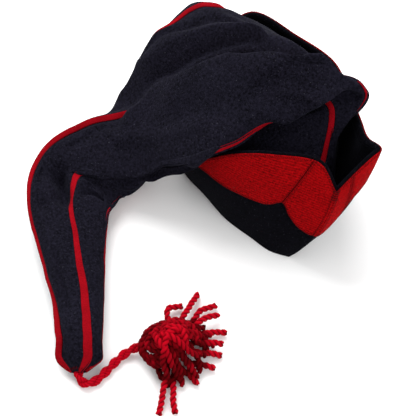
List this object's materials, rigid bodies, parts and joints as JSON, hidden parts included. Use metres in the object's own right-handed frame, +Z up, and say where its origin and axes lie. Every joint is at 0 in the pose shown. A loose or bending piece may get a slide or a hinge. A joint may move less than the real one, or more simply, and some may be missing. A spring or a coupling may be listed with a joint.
{
  "type": "side cap",
  "caption": "Forage cap with a turned-up band, shaped contrast facing, a long pointed bag with stripped seams that folds over to one side, and a cord with a yarn tassel.",
  "frame": {"origin": "on the surface that the cap lies on, under the middle of the cap's box without its cord and tassel", "axes": "+Z up, +X toward the wearer's left side of the band, -X toward the side that the bag falls to, -Y toward the viewer of the picture, where the front corner of the band and the bag's tip point"},
  "size_m": [0.3308, 0.3865, 0.1659],
  "materials": {
    "black_wool": "matte, short nap",
    "red_wool": "matte, ribbed weave",
    "red_yarn": "matte, twisted plies"
  },
  "bodies": {
    "root": {"band": "black_wool", "facing_front_left": "red_wool", "facing_side_left": "red_wool", "facing_side_right": "red_wool", "facing_front_right": "red_wool", "gore_front_left": "black_wool", "gore_back_left": "black_wool", "gore_back_right": "black_wool", "gore_front_right": "black_wool", "strip_front": "red_wool", "strip_left": "red_wool", "strip_back": "red_wool", "strip_right": "red_wool", "cord": "red_yarn", "tassel": "red_yarn"}
  },
  "joints": []
}
